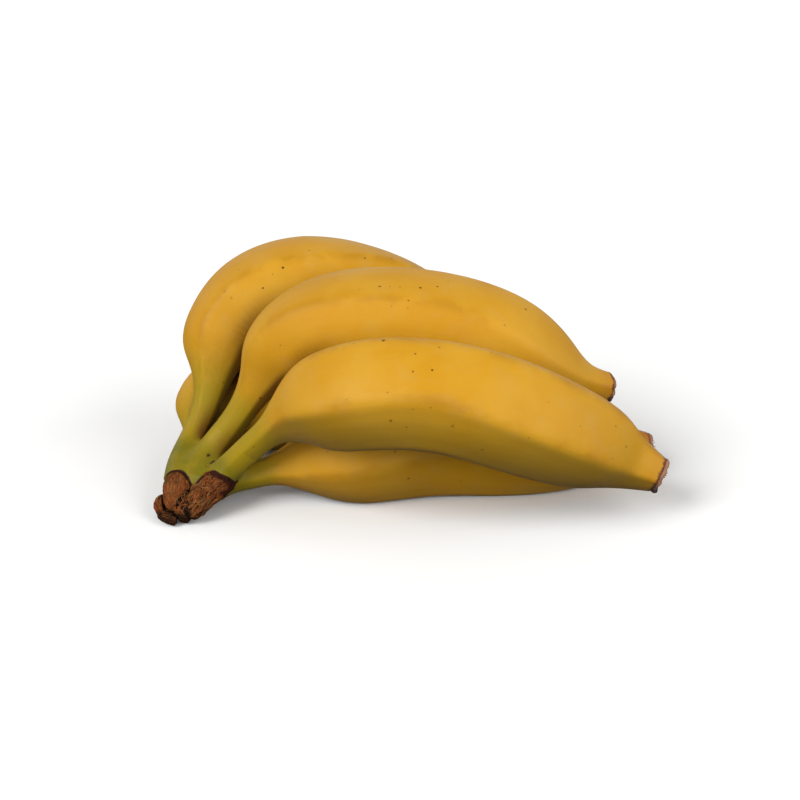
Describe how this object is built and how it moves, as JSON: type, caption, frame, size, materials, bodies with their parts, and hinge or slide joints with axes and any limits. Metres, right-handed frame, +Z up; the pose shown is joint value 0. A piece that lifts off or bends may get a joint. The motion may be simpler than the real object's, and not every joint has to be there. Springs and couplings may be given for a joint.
{
  "type": "hand of bananas",
  "caption": "Hand of ripe yellow bananas grown together at a brown cut crown, lying on its side with dark dried flower ends.",
  "frame": {"origin": "middle of the footprint, on the surface that the hand lies on", "axes": "+X from the cut crown towards the flower ends, +Y from the front banana towards the back ones, +Z up"},
  "size_m": [0.1838, 0.1226, 0.084],
  "materials": {
    "peel_yellow": "satin ripe peel",
    "peel_green": "satin greenish peel",
    "dried_cut": "rough dried plant fibre",
    "dried_flower": "rough dried flower remains"
  },
  "bodies": {
    "root": {"banana_front": "peel_yellow", "banana_middle": "peel_yellow", "banana_back": "peel_yellow", "banana_lower_front": "peel_yellow", "banana_lower_back": "peel_yellow", "flower_end_front": "dried_flower", "flower_end_middle": "dried_flower", "flower_end_back": "dried_flower", "flower_end_lower_front": "dried_flower", "flower_end_lower_back": "dried_flower", "crown_pad": "peel_green", "crown_cut": "dried_cut"}
  },
  "joints": []
}
